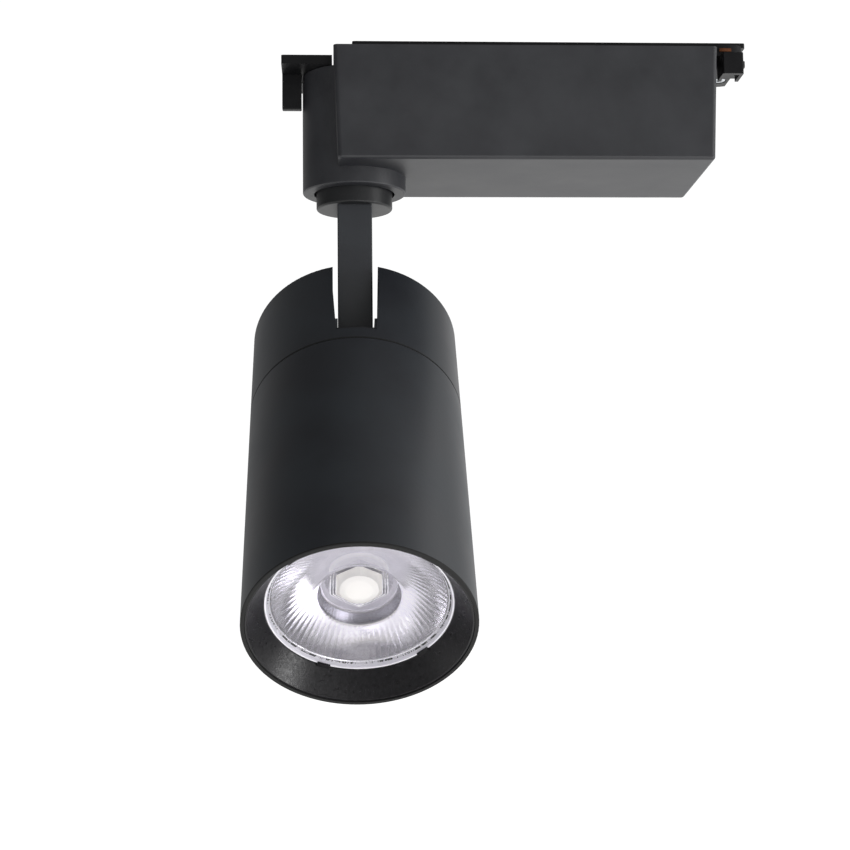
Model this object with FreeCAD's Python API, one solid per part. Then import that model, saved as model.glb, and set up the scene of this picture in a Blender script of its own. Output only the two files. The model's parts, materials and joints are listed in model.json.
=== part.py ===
import FreeCAD, Part
import math
import os

V = FreeCAD.Vector
X_AXIS = V(1, 0, 0)
Y_AXIS = V(0, 1, 0)
Z_AXIS = V(0, 0, 1)

# Track spotlight: a driver box hangs under a lighting track, and a tubular lamp head
# swivels and tilts below one end of it. Millimetres and degrees throughout.
# Origin: on the swivel axis, in the plane that bears on the underside of the track.
# +X runs along the track towards the driver, +Z is up, and the head aims towards -Y.

# Driver box: a shell with drafted walls, widest at its open top
box_left = -6.8
box_right = 129.7
box_half_depth = 30.0
box_height = 41.2
box_draft = 2.0
box_wall = 2.2
box_corner_r = 1.6
box_edge_r = 1.2

# Round boss at the end of the box, which carries the swivel
boss_r = 19.0
boss_drop = 6.1
boss_top = -3.5
boss_wall = 2.2
boss_edge_r = 0.6
recess_r = 14.9
recess_depth = 2.5
floor_thick = 4.0

# Swivel collar on a hollow M10 stem
collar_r = 14.0
collar_drop = 6.0
collar_edge_r = 0.8
stem_r = 5.0
stem_bore_r = 3.4
stem_rise = 14.5
running_gap = 0.05
part_gap = 0.3

# Arm: a flat bar between the collar and the tilt pivot
arm_width = 12.6
arm_depth = 20.4
arm_edge_r = 0.5
pivot_drop = 74.7
wire_bore_r = 2.6
wire_exit_above_pivot = 12.0

# Lamp head: s is the distance along its axis from the rear plane
head_r = 37.5
head_length = 141.4
cover_length = 42.3
seam_gap = 0.3
head_wall = 2.2
rear_wall = 2.5
head_edge_r = 0.5
pivot_s = 19.3
head_tilt = 47.5
slot_half_rear = 8.1
slot_half_front = 7.0
slot_parallel_s = 14.0
slot_end_s = 36.8
slot_low_n = -12.0
rim_rebate_r = 36.2
rim_rebate_s = 133.0

# Heat sink and light source
sink_r = 35.0
sink_rear_s = 33.0
sink_rear_plate = 4.0
sink_front_s = 100.0
sink_front_plate = 10.0
sink_core_r = 13.0
fin_count = 24
fin_thick = 1.6
pad_thick = 0.3
led_board_side = 24.0
led_board_thick = 1.6
emitter_r = 8.5
emitter_thick = 0.9

# Lens and the black ring in front of it
flange_r = 30.2
flange_front_s = 132.2
flange_thick = 2.0
flange_root_r = 28.6
well_mouth_r = 13.5
well_mouth_s = 127.9
well_floor_r = 12.3
well_floor_s = 122.7
well_crown_s = 126.4
rim_inner_r = 29.7
dish_edge_r = 29.2
dish_edge_s = 130.9
lens_rear_s = 105.0
lens_rear_r = 10.6
lens_cavity_r = 8.6
lens_cavity_s = 112.0
lens_cavity_sag = 1.6
ring_mouth_r = 35.5
ring_set_back = 0.5
tab_angles = (-113.0, -46.0, 67.0, 134.0)

# Track adapter on top of the box
ridge_half = 7.3
ridge_top = 9.0
ridge_left = -0.6
ridge_right = 146.0
lid_thick = 2.5
slot_clear = 0.2
lever_x = 137.3
lever_half = 3.8
lever_tip_y = -25.0
lever_tab_depth = 10.0
lever_tab_low = -8.2
lever_thick = 3.0
cam_r = 12.0
cam_half = 6.5
cam_low = 2.5
cam_high = 6.9
fork_low = 2.2
fork_high = 7.2
blade_tip_r = 13.0

# Latch at the left end
latch_plate_left = -26.4
latch_plate_right = -8.0
latch_plate_half = 18.3
latch_plate_low = -3.3
latch_left = -26.4
latch_right = -19.3
latch_half = 5.2
latch_tab_thick = 3.0
latch_low = -16.4
latch_high = 4.5

box_bottom = -box_height
boss_bottom = box_bottom - boss_drop
floor_low = boss_bottom + recess_depth
floor_high = floor_low + floor_thick
collar_low = boss_bottom - collar_drop
collar_high = floor_low - part_gap
pivot_z = box_bottom - pivot_drop
board_top = -32.4


# ---- small shape helpers --------------------------------------------------------

def block(x0, x1, y0, y1, z0, z1):
    return Part.makeBox(x1 - x0, y1 - y0, z1 - z0, V(x0, y0, z0))


def rod(r, z0, z1, x=0.0, y=0.0):
    return Part.makeCylinder(r, z1 - z0, V(x, y, z0), Z_AXIS)


def rod_x(r, x0, x1, y=0.0, z=0.0):
    return Part.makeCylinder(r, x1 - x0, V(x0, y, z), X_AXIS)


def ring(r_out, r_in, z0, z1, x=0.0, y=0.0):
    return rod(r_out, z0, z1, x, y).cut(rod(r_in, z0 - 1, z1 + 1, x, y))


def ring_x(r_out, r_in, x0, x1, y=0.0, z=0.0):
    return rod_x(r_out, x0, x1, y, z).cut(rod_x(r_in, x0 - 1, x1 + 1, y, z))


def hexagon(across_flats, z0, z1):
    r = across_flats / math.sqrt(3)
    corners = [V(r * math.cos(math.radians(a)), r * math.sin(math.radians(a)), z0)
               for a in range(0, 361, 60)]
    return Part.Face(Part.makePolygon(corners)).extrude(V(0, 0, z1 - z0))


def plate(points, x0, x1):
    """Flat plate across X; the points are its outline as (y, z)."""
    corners = [V(x0, y, z) for y, z in points]
    return Part.Face(Part.makePolygon(corners + corners[:1])).extrude(V(x1 - x0, 0, 0))


def turned(points):
    """Solid of revolution about Z from a closed (radius, height) outline."""
    corners = [V(r, 0, z) for r, z in points]
    face = Part.Face(Part.makePolygon(corners + corners[:1]))
    return face.revolve(V(0, 0, 0), Z_AXIS, 360)


def rounded(shape, radius, wanted):
    """Fillet the edges for which wanted(bounding box) is true."""
    edges = [e for e in shape.Edges if wanted(e.BoundBox)]
    return shape.makeFillet(radius, edges)


def level(z):
    """Test for an edge that lies in the plane at height z."""
    return lambda b: abs(b.ZMin - z) < 0.01 and abs(b.ZMax - z) < 0.01


def frustum(grow, z_low, z_high):
    """The box's drafted outline, grown by grow all round, between two heights."""
    wires = []
    for z in (z_low, z_high):
        lean = grow + (z - box_bottom / 2) * math.tan(math.radians(box_draft))
        x0 = box_left - lean
        x1 = box_right + lean
        y1 = box_half_depth + lean
        wires.append(Part.makePolygon([V(x0, -y1, z), V(x1, -y1, z), V(x1, y1, z),
                                       V(x0, y1, z), V(x0, -y1, z)]))
    return Part.makeLoft(wires, True, True)


def joined(shapes):
    whole = shapes[0].multiFuse(shapes[1:])
    return whole.removeSplitter()


def on_head(shape):
    """Carry a shape from the head's own frame, with Z along its axis from the rear
    plane and Y towards the slot, to its place on the tilt pivot."""
    moved = shape.copy()
    moved.translate(V(0, 0, -pivot_s))
    turn = FreeCAD.Rotation(X_AXIS, 90 + head_tilt)
    moved.Placement = FreeCAD.Placement(V(0, 0, pivot_z), turn).multiply(moved.Placement)
    return moved


def pan_screw(shank_r, shank_length, head_radius, head_height):
    """Pan-head screw along Z: shank from 0 down, head from 0 up, with a cross recess."""
    head = rod(head_radius, 0, head_height)
    head = rounded(head, head_height * 0.4, level(head_height))
    arm = head_radius * 0.55
    wide = head_radius * 0.13
    depth = head_height * 0.5
    cross = block(-arm, arm, -wide, wide, head_height - depth, head_height + 1)
    cross = cross.fuse(block(-wide, wide, -arm, arm, head_height - depth, head_height + 1))
    return head.cut(cross).fuse(rod(shank_r, -shank_length, 0))


def flush_screw(shank_r, length, head_radius):
    """Countersunk screw along Z with its flat head's top at 0 and a cross recess."""
    cone = head_radius - shank_r
    body = turned([(0, -length), (shank_r, -length), (shank_r, -cone), (head_radius, 0),
                   (0, 0)])
    arm = head_radius * 0.5
    wide = head_radius * 0.12
    depth = cone * 0.6
    cross = block(-arm, arm, -wide, wide, -depth, 1)
    return body.cut(cross.fuse(block(-wide, wide, -arm, arm, -depth, 1)))


def countersink(shank_r, length, head_radius):
    cone = head_radius - shank_r
    return turned([(0, -length), (shank_r, -length), (shank_r, -cone), (head_radius, 0),
                   (head_radius, 1), (0, 1)])


def at(shape, x, y, z):
    copy = shape.copy()
    copy.translate(V(x, y, z))
    return copy


def upside_down(shape):
    copy = shape.copy()
    copy.rotate(V(0, 0, 0), X_AXIS, 180)
    return copy


# ---- driver box -----------------------------------------------------------------

lid_post_r = 3.6
lid_post_x = (0.6, 122.9)
lid_post_y = 24.0
lid_screw_r = 1.5
lid_screw_head_r = 2.9
lid_screw_length = 12.0
board_x = (24.0, 116.0)
board_half = 24.5
board_thick = 1.6
board_post_x = (29.0, 111.0)
board_post_y = 20.0
board_post_r = 3.0
board_screw_r = 1.25
notch_half = ridge_half + slot_clear
notch_low = -3.3
stop_post = (11.0, 14.0)
stop_post_half = 1.25
stop_post_height = 2.6


def driver_housing():
    shell = frustum(0.0, box_bottom, 0.0)
    shell = rounded(shell, box_corner_r, lambda b: b.ZLength > box_height / 2)
    shell = rounded(shell, box_edge_r, level(box_bottom))
    boss = rod(boss_r, boss_bottom, boss_top)
    boss = rounded(boss, boss_edge_r, level(boss_bottom))
    shell = shell.fuse(boss)
    inside = frustum(-box_wall, box_bottom + box_wall, 1.0)
    inside = inside.fuse(rod(boss_r - boss_wall, floor_high, boss_top - boss_wall))
    shell = shell.cut(inside)
    posts = [rod(lid_post_r, box_bottom + 1, -lid_thick, x, side * lid_post_y)
             for x in lid_post_x for side in (-1, 1)]
    posts += [rod(board_post_r, box_bottom + 1, board_top - board_thick, x,
                  side * board_post_y) for x in board_post_x for side in (-1, 1)]
    posts.append(block(stop_post[0], stop_post[1], -stop_post_half, stop_post_half,
                       floor_high - 1, floor_high + stop_post_height))
    shell = shell.multiFuse(posts)
    holes = [rod(lid_screw_r, -lid_screw_length - 1, 0, x, side * lid_post_y)
             for x in lid_post_x for side in (-1, 1)]
    holes += [rod(board_screw_r, box_bottom + box_wall + 1, board_top, x,
                  side * board_post_y) for x in board_post_x for side in (-1, 1)]
    holes.append(rod(recess_r, boss_bottom - 1, floor_low))
    holes.append(rod(stem_r + running_gap, floor_low - 1, floor_high + 1))
    holes.append(block(box_right - 2 * box_wall, box_right + 5, -notch_half, notch_half,
                       notch_low - slot_clear, 1))
    holes += [rod(latch_screw_r, latch_plate_low - 3, 0, latch_screw_x, side * latch_screw_y)
              for side in (-1, 1)]
    return shell.cut(holes[0].multiFuse(holes[1:]))


def driver_lid():
    lean = -lid_thick * math.tan(math.radians(box_draft))
    edge = -box_height * -0.5 * math.tan(math.radians(box_draft)) - box_wall - slot_clear
    grow = edge + lean
    x0 = box_left - grow
    x1 = box_right + grow
    y1 = box_half_depth + grow
    lid = block(x0, x1, -y1, y1, -lid_thick, 0)
    lid = rounded(lid, box_corner_r, lambda b: b.ZLength > lid_thick / 2)
    lid = lid.cut(block(ridge_left - slot_clear, x1 + 1, -notch_half, notch_half,
                        -lid_thick - 1, 1))
    sink = countersink(lid_screw_r + slot_clear, lid_screw_length, lid_screw_head_r)
    for x in lid_post_x:
        for side in (-1, 1):
            lid = lid.cut(at(sink, x, side * lid_post_y, 0))
    for x in adapter_screw_x:
        for side in (-1, 1):
            lid = lid.cut(rod(adapter_screw_r, -lid_thick - 1, -0.6, x,
                              side * adapter_screw_y))
    return lid


def lid_screws():
    screw = flush_screw(lid_screw_r, lid_screw_length, lid_screw_head_r)
    return Part.makeCompound([at(screw, x, side * lid_post_y, 0)
                              for x in lid_post_x for side in (-1, 1)])


def driver_board():
    low = board_top - board_thick
    board = block(board_x[0], board_x[1], -board_half, board_half, low, board_top)
    for x in board_post_x:
        for side in (-1, 1):
            board = board.cut(rod(board_screw_r, low - 1, board_top + 1, x,
                                  side * board_post_y))
    return board


def board_screws():
    screw = pan_screw(board_screw_r, 5.0, 2.5, 1.6)
    return Part.makeCompound([at(screw, x, side * board_post_y, board_top)
                              for x in board_post_x for side in (-1, 1)])


transformer_x = 70.0


def transformer_core():
    """Ferrite E core: two outer legs and a centre leg between two yokes."""
    outer = block(transformer_x - 13, transformer_x + 13, -11, 11, board_top + 3,
                  board_top + 22)
    windows = block(transformer_x - 9, transformer_x + 9, -12, 12, board_top + 7,
                    board_top + 18)
    leg = rod(4.0, board_top + 6, board_top + 19, transformer_x, 0)
    return outer.cut(windows).fuse(leg).removeSplitter()


def transformer_winding():
    """Bobbin with its wound coil round the centre leg, on a pin base."""
    coil = ring(8.6, 4.2, board_top + 8, board_top + 17, transformer_x, 0)
    cheeks = [ring(8.9, 4.2, z, z + 0.8, transformer_x, 0)
              for z in (board_top + 7.1, board_top + 17.1)]
    coil = coil.multiFuse(cheeks)
    foot = block(transformer_x - 12, transformer_x + 12, -13, 13, board_top,
                 board_top + 2.9)
    return Part.makeCompound([coil.removeSplitter(), foot])


def capacitors():
    """Electrolytic cans: one bulk can near the mains end, two at the output end."""
    cans = []
    for x, y, r, h in ((97.0, 9.0, 8.0, 22.0), (45.0, 12.0, 5.0, 16.0),
                       (45.0, -3.0, 5.0, 16.0)):
        can = rod(r, board_top + 0.4, board_top + h, x, y)
        can = rounded(can, 0.8, level(board_top + h))
        cans.append(can)
        cans.append(rod(r - 1.5, board_top, board_top + 0.4, x, y))
    return Part.makeCompound(cans)


def mains_choke():
    """Toroidal choke lying on a round base."""
    torus = Part.makeTorus(7.5, 3.2, V(98.0, -13.0, board_top + 4.8), Z_AXIS)
    base = rod(10.0, board_top, board_top + 1.6, 98.0, -13.0)
    return Part.makeCompound([torus, base])


def terminal_block():
    """Two-way output terminals with screw wells and wire mouths."""
    body = block(26.0, 34.0, -13.0, 3.0, board_top, board_top + 10.0)
    for y in (-9.0, -1.0):
        body = body.cut(rod(2.0, board_top + 5, board_top + 11, 31.0, y))
        body = body.cut(rod_x(1.6, 25.0, 29.5, y, board_top + 4.0))
    return body


def power_switch():
    """Switching transistor clamped to a bent aluminium plate."""
    fin = block(58.0, 80.0, -18.0, -16.5, board_top, board_top + 18.0)
    foot = block(59.0, 63.0, -16.5, -13.5, board_top, board_top + 1.5)
    package = block(64.0, 74.0, -22.4, -18.0, board_top + 2.5, board_top + 17.0)
    return Part.makeCompound([fin.fuse(foot).removeSplitter(), package])


# ---- track adapter --------------------------------------------------------------

adapter_screw_x = (12.0, 62.0, 112.0)
adapter_screw_y = 9.6
adapter_screw_r = 1.1
base_half = 12.0
base_low = -5.0
ridge_wall = 2.0
shaft_r = 3.0


def adapter_body():
    """Moulded ridge that sits in the track's slot. Its foot is screwed under the lid,
    and its far end forks round the contact head."""
    foot = block(ridge_left, box_right - 4.5, -base_half, base_half, base_low, -lid_thick)
    ridge = block(ridge_left, ridge_right, -ridge_half, ridge_half, 0, ridge_top)
    ridge = rounded(ridge, 1.0, lambda b: b.ZLength > ridge_top / 2)
    neck = block(ridge_left, box_right - 4.5, -ridge_half, ridge_half, -lid_thick, 1.0)
    reach = block(box_right - 5.0, lever_x - cam_half, -ridge_half, ridge_half, notch_low,
                  1.0)
    reach = reach.cut(rod(lever_back_r + part_gap, notch_low - 1, 2, lever_x, 0))
    body = joined([foot, neck, ridge, reach])
    hollow = block(ridge_left + ridge_wall, box_right - 12, -ridge_half + ridge_wall,
                   ridge_half - ridge_wall, base_low - 1, ridge_top - ridge_wall)
    body = body.cut(hollow)
    body = body.cut(rod(blade_tip_r + part_gap, fork_low, fork_high, lever_x, 0))
    body = body.cut(rod(shaft_r + running_gap, -1, ridge_top - 0.8, lever_x, 0))
    for x in adapter_screw_x:
        for side in (-1, 1):
            body = body.cut(rod(adapter_screw_r, base_low - 1, 1, x,
                                side * adapter_screw_y))
    return body


def adapter_screws():
    screw = upside_down(pan_screw(adapter_screw_r, 4.2, 2.1, 1.4))
    return Part.makeCompound([at(screw, x, side * adapter_screw_y, base_low)
                              for x in adapter_screw_x for side in (-1, 1)])


lever_back_r = 7.3
lever_low = -lever_thick - part_gap
lever_high = -part_gap
lever_rim = 1.2
lever_screw_r = 1.5


def contact_lever():
    """Flat paddle under the track, with a finger tab that hangs past the track's edge."""
    x0 = lever_x - lever_half
    x1 = lever_x + lever_half
    paddle = block(x0, x1, lever_tip_y, 0, lever_low, lever_high)
    tab = block(x0, x1, lever_tip_y, lever_tip_y + lever_tab_depth, lever_tab_low,
                lever_high)
    back = rod(lever_back_r, lever_low, lever_high, lever_x, 0)
    back = back.common(block(x0, x1, -lever_back_r, lever_back_r, lever_low, lever_high))
    lever = joined([paddle, tab, back])
    lever = rounded(lever, 0.6, lambda b: b.ZLength > 5 and b.YMax < lever_tip_y + 1)
    pocket = block(x0 + lever_rim, x1 - lever_rim, lever_tip_y + 2.0,
                   lever_tip_y + lever_tab_depth + 1, lever_tab_low - 1, lever_low)
    lever = lever.cut(pocket)
    lever = lever.cut(rod(lever_screw_r, lever_low - 1, lever_high + 1, lever_x, 0))
    return lever.cut(rod(2.9, lever_low - 1, lever_low + 1.3, lever_x, 0))


def contact_head():
    """Rotary head on the lever's shaft: an oval cam with a pocket at each blade."""
    cam = rod(cam_r, cam_low, cam_high, lever_x, 0)
    cam = cam.common(block(lever_x - cam_half, lever_x + cam_half, -cam_r, cam_r, cam_low,
                           cam_high))
    shaft = rod(shaft_r, lever_high, ridge_top - 1.0, lever_x, 0)
    head = joined([cam, shaft])
    for side in (-1, 1):
        head = head.cut(blade(side))
    return head.cut(rod(lever_screw_r, lever_high - 1, lever_high + 7, lever_x, 0))


blade_half = 2.2
blade_low = 4.0
blade_high = 5.2


def blade(side):
    near = min(side * (blade_tip_r - 4.0), side * blade_tip_r)
    tip = block(lever_x - blade_half, lever_x + blade_half, near, near + 4.0, blade_low,
                blade_high)
    return tip.common(rod(blade_tip_r, blade_low, blade_high, lever_x, 0))


def contact_blades():
    return Part.makeCompound([blade(side) for side in (-1, 1)])


def lever_screw():
    screw = upside_down(pan_screw(lever_screw_r, 6.5, 2.7, 1.2))
    return at(screw, lever_x, 0, lever_low + 1.3)


latch_screw_x = -13.5
latch_screw_y = 8.5
latch_screw_r = 1.1


def latch_plate():
    """Plate between the boss and the track, which guides the latch."""
    body = block(latch_plate_left, latch_plate_right, -latch_plate_half, latch_plate_half,
                 latch_plate_low, 0)
    body = rounded(body, 0.8, lambda b: b.ZLength > 1 and b.XMax < -20)
    gap = slot_clear
    body = body.cut(block(latch_left - 1, latch_right + gap, -latch_half - gap,
                          latch_half + gap, latch_plate_low - 1, 1))
    sink = countersink(latch_screw_r, 5.0, 2.2)
    for side in (-1, 1):
        body = body.cut(at(sink, latch_screw_x, side * latch_screw_y, 0))
    return body


def latch_plate_screws():
    screw = flush_screw(latch_screw_r, 5.6, 2.2)
    return Part.makeCompound([at(screw, latch_screw_x, side * latch_screw_y, 0)
                              for side in (-1, 1)])


def latch():
    """Sliding latch: a finger tab below the plate and a tongue that enters the track."""
    tongue = block(latch_left, latch_right, -latch_half, latch_half,
                   latch_plate_low + 0.2, latch_high)
    tab = block(latch_left, latch_right, -latch_half, -latch_half + latch_tab_thick,
                latch_low, 0)
    body = joined([tongue, tab])
    body = rounded(body, 0.5, level(latch_low))
    slope = plate([(-latch_half - 1, latch_high + 1), (-latch_half - 1, latch_high - 3),
                   (-latch_half + 3, latch_high + 1)], latch_left - 1, latch_right + 1)
    return body.cut(slope).cut(slope.mirror(V(0, 0, 0), Y_AXIS))


# ---- swivel and arm -------------------------------------------------------------

arm_screw_y = 7.9
arm_screw_r = 1.5
arm_screw_head_r = 2.7
washer_r = 9.5
washer_thick = 1.2
stop_lug = 13.2
stop_lug_half = 1.5
wave_thick = 1.0
nut_flats = 14.0
nut_thick = 5.0
washer_low = floor_high + 0.1
stop_low = washer_low + washer_thick
wave_low = stop_low + washer_thick
nut_low = wave_low + wave_thick


def swivel_collar():
    body = rod(collar_r, collar_low, collar_high)
    body = rounded(body, collar_edge_r, level(collar_low))
    body = body.fuse(rod(stem_r, collar_high - 1, floor_low + stem_rise))
    body = body.removeSplitter()
    body = body.cut(rod(stem_bore_r, collar_low - 1, floor_low + stem_rise + 1))
    for side in (-1, 1):
        y = side * arm_screw_y
        body = body.cut(rod(arm_screw_r, collar_low - 1, collar_high + 1, 0, y))
        body = body.cut(rod(arm_screw_head_r + 0.1, collar_high - 2.4, collar_high + 1, 0, y))
    return body


def arm():
    """Flat bar with a round eye at the pivot and a wire channel down its middle."""
    half_w = arm_width / 2
    half_d = arm_depth / 2
    bar = block(-half_w, half_w, -half_d, half_d, pivot_z, collar_low)
    eye = rod_x(half_d, -half_w, half_w, 0, pivot_z)
    bar = joined([bar, eye])
    bar = rounded(bar, arm_edge_r, lambda b: b.ZLength > pivot_drop / 2 and b.XLength < 0.01)
    bar = bar.cut(rod(wire_bore_r, pivot_z + wire_exit_above_pivot, collar_low + 1))
    outlet = Part.makeCylinder(wire_bore_r, half_d + 1,
                               V(0, 0, pivot_z + wire_exit_above_pivot), Y_AXIS)
    bar = bar.cut(outlet)
    for side in (-1, 1):
        bar = bar.cut(rod(arm_screw_r, collar_low - 10, collar_low + 1, 0,
                          side * arm_screw_y))
    return bar.cut(rod_x(tilt_bolt_r + running_gap, -half_w - 1, half_w + 1, 0, pivot_z))


def arm_screws():
    screw = pan_screw(arm_screw_r, 14.0, arm_screw_head_r, 2.0)
    return Part.makeCompound([at(screw, 0, side * arm_screw_y, collar_high - 2.4)
                              for side in (-1, 1)])


def swivel_washer():
    return ring(washer_r, stem_r, washer_low, washer_low + washer_thick)


def swivel_stop():
    """Washer keyed to the stem, with a lug that meets the post in the boss."""
    disc = rod(washer_r, stop_low, stop_low + washer_thick)
    lug = block(-stop_lug, -washer_r + 1, -stop_lug_half, stop_lug_half, stop_low,
                stop_low + washer_thick)
    disc = joined([disc, lug])
    return disc.cut(rod(stem_r, stop_low - 1, stop_low + washer_thick + 1))


def swivel_wave_washer():
    """Spring washer, drawn as a shallow cone pressed nearly flat."""
    dish = 0.4
    return turned([(stem_r, wave_low + dish), (8.4, wave_low),
                   (8.4, wave_low + wave_thick - dish), (stem_r, wave_low + wave_thick)])


def swivel_nut():
    nut = hexagon(nut_flats, nut_low, nut_low + nut_thick)
    return nut.cut(rod(stem_r, nut_low - 1, nut_low + nut_thick + 1))


# ---- lamp head ------------------------------------------------------------------

tilt_bolt_r = 2.5
ear_in = 6.45
ear_thick = 1.5
ear_r = 11.0
ear_reach_n = 33.8
ear_shoulder_s = 27.0
bracket_thick = 2.0
bracket_half_x = 19.0
bracket_half_n = 13.0
bracket_screw_x = 14.0
bracket_screw_n = 8.0
bracket_screw_r = 1.5
cover_screw_x = 24.0
cover_post_r = 4.0


def rear_cover():
    """Slotted cup over the rear of the head."""
    cup = rod(head_r, 0, cover_length)
    cup = rounded(cup, head_edge_r, level(0))
    cup = cup.cut(rod(head_r - head_wall, rear_wall, cover_length + 1))
    outline = [V(-slot_half_rear, 0, -1), V(slot_half_rear, 0, -1),
               V(slot_half_rear, 0, slot_parallel_s), V(slot_half_front, 0, slot_end_s),
               V(-slot_half_front, 0, slot_end_s), V(-slot_half_rear, 0, slot_parallel_s)]
    slot = Part.Face(Part.makePolygon(outline + outline[:1])).extrude(V(0, head_r + 1, 0))
    rear = block(-slot_half_rear, slot_half_rear, slot_low_n, 1, -1, rear_wall + 1)
    cup = cup.cut(slot.fuse(rear))
    sink = upside_down(countersink(1.5, 8.0, 2.9))
    for side in (-1, 1):
        cup = cup.cut(at(sink, side * cover_screw_x, 0, 0))
    return on_head(cup)


def cover_screws():
    screw = upside_down(flush_screw(1.5, 8.0, 2.9))
    pair = [at(screw, side * cover_screw_x, 0, 0) for side in (-1, 1)]
    return on_head(Part.makeCompound(pair))


def body_tube():
    """Extruded tube, bored out at the front for the ring."""
    start = cover_length + seam_gap
    tube = turned([(head_r - head_wall, start), (head_r, start), (head_r, head_length),
                   (rim_rebate_r, head_length), (rim_rebate_r, rim_rebate_s),
                   (head_r - head_wall, rim_rebate_s)])
    return on_head(rounded(tube, 0.4, lambda b: level(head_length)(b)
                           and b.XMax > head_r - 0.01))


def heat_sink():
    """Turned core with radial fins between a rear plate and the light source's seat."""
    fins_low = sink_rear_s + sink_rear_plate
    fins_high = sink_front_s - sink_front_plate
    pieces = [rod(sink_r, sink_rear_s, fins_low),
              rod(sink_core_r, fins_low, fins_high),
              rod(sink_r, fins_high, sink_front_s)]
    for k in range(fin_count):
        fin = block(sink_core_r - 1, sink_r - 0.6, -fin_thick / 2, fin_thick / 2,
                    fins_low, fins_high)
        fin.rotate(V(0, 0, 0), Z_AXIS, 360.0 / fin_count * (k + 0.5))
        pieces.append(fin)
    for side in (-1, 1):
        pieces.append(rod(cover_post_r, rear_wall, sink_rear_s, side * cover_screw_x, 0))
    sink = joined(pieces)
    holes = [rod(1.5, 0, 10, side * cover_screw_x, 0) for side in (-1, 1)]
    holes += [rod(bracket_screw_r, sink_rear_s - 1, sink_rear_s + 3.6, a * bracket_screw_x,
                  b * bracket_screw_n) for a in (-1, 1) for b in (-1, 1)]
    holes += [rod(1.25, sink_front_s - 5, sink_front_s + 1, a * holder_screw_x, 0)
              for a in (-1, 1)]
    holes.append(rod(3.0, sink_rear_s - 1, sink_front_s + 1, 0, -24.0))
    return on_head(sink.cut(holes[0].multiFuse(holes[1:])))


def pivot_bracket():
    """Bent steel bracket: a base on the heat sink and an ear each side of the arm."""
    low = sink_rear_s - bracket_thick
    base = block(-bracket_half_x, bracket_half_x, -bracket_half_n, bracket_half_n, low,
                 sink_rear_s)
    outline = [(-ear_r, sink_rear_s), (ear_reach_n, sink_rear_s),
               (ear_reach_n, ear_shoulder_s), (ear_r / 2, pivot_s - ear_r * 0.866),
               (-ear_r, pivot_s)]
    parts = [base]
    for inner in (-ear_in - ear_thick, ear_in):
        parts.append(plate(outline, inner, inner + ear_thick))
        parts.append(rod_x(ear_r, inner, inner + ear_thick, 0, pivot_s))
    bracket = joined(parts)
    bracket = bracket.cut(rod_x(tilt_bolt_r, -10, 10, 0, pivot_s))
    for a in (-1, 1):
        for b in (-1, 1):
            bracket = bracket.cut(rod(bracket_screw_r, low - 1, sink_rear_s + 1,
                                      a * bracket_screw_x, b * bracket_screw_n))
    return on_head(bracket)


def bracket_screws():
    screw = upside_down(pan_screw(bracket_screw_r, 5.4, 2.7, 1.9))
    group = [at(screw, a * bracket_screw_x, b * bracket_screw_n,
                sink_rear_s - bracket_thick) for a in (-1, 1) for b in (-1, 1)]
    return on_head(Part.makeCompound(group))


ear_out = ear_in + ear_thick
tilt_washer_r = 5.0
tilt_washer_thick = 1.0
tilt_nut_thick = 4.0
tilt_head_r = 4.25
tilt_head_thick = 4.6


def tilt_bolt():
    """Socket-head bolt across the ears and the arm."""
    start = ear_out + tilt_washer_thick
    shank = rod_x(tilt_bolt_r, -start, start + tilt_nut_thick + 1.5, 0, pivot_s)
    head = rod_x(tilt_head_r, -start - tilt_head_thick, -start, 0, pivot_s)
    socket = hexagon(4.0, 0, 2.6)
    socket.rotate(V(0, 0, 0), Y_AXIS, 90)
    socket.translate(V(-start - tilt_head_thick, 0, pivot_s))
    return on_head(joined([shank, head]).cut(socket))


def tilt_washers():
    pair = [ring_x(tilt_washer_r, tilt_bolt_r, x, x + tilt_washer_thick, 0, pivot_s)
            for x in (-ear_out - tilt_washer_thick, ear_out)]
    return on_head(Part.makeCompound(pair))


def tilt_nut():
    start = ear_out + tilt_washer_thick
    nut = hexagon(8.0, 0, tilt_nut_thick)
    nut = nut.cut(rod(tilt_bolt_r, -1, tilt_nut_thick + 1))
    nut.rotate(V(0, 0, 0), Y_AXIS, 90)
    nut.translate(V(start, 0, pivot_s))
    return on_head(nut)


# ---- light source ---------------------------------------------------------------

holder_r = 22.0
holder_screw_x = 16.5
board_low_s = sink_front_s + pad_thick
board_high_s = board_low_s + led_board_thick
holder_high_s = board_high_s + 2.2


def thermal_pad():
    half = led_board_side / 2
    return on_head(block(-half, half, -half, half, sink_front_s, board_low_s))


def led_board():
    half = led_board_side / 2
    return on_head(block(-half, half, -half, half, board_low_s, board_high_s))


def led_emitter():
    return on_head(rod(emitter_r, board_high_s, board_high_s + emitter_thick))


def led_holder():
    """Plastic ring that presses the board down, with a flared window."""
    body = rod(holder_r, sink_front_s, holder_high_s)
    half = led_board_side / 2 + 0.1
    body = body.cut(block(-half, half, -half, half, sink_front_s - 1, board_high_s))
    window = Part.makeCone(emitter_r + 0.6, emitter_r + 1.8,
                           holder_high_s - board_high_s + 1, V(0, 0, board_high_s), Z_AXIS)
    body = body.cut(window)
    for side in (-1, 1):
        x = side * holder_screw_x
        body = body.cut(rod(1.25, sink_front_s - 1, holder_high_s + 1, x, 0))
        body = body.cut(rod(2.5, holder_high_s - 1.6, holder_high_s + 1, x, 0))
    return on_head(body)


def led_holder_screws():
    screw = pan_screw(1.25, 6.0, 2.3, 1.4)
    pair = [at(screw, side * holder_screw_x, 0, holder_high_s - 1.6) for side in (-1, 1)]
    return on_head(Part.makeCompound(pair))


# ---- optics ---------------------------------------------------------------------

holder_ledge_r = 29.0
dish_middle_r = 21.0
dish_middle_s = 128.9
lens_bulge_r = 21.5
lens_bulge_s = 116.0


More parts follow.
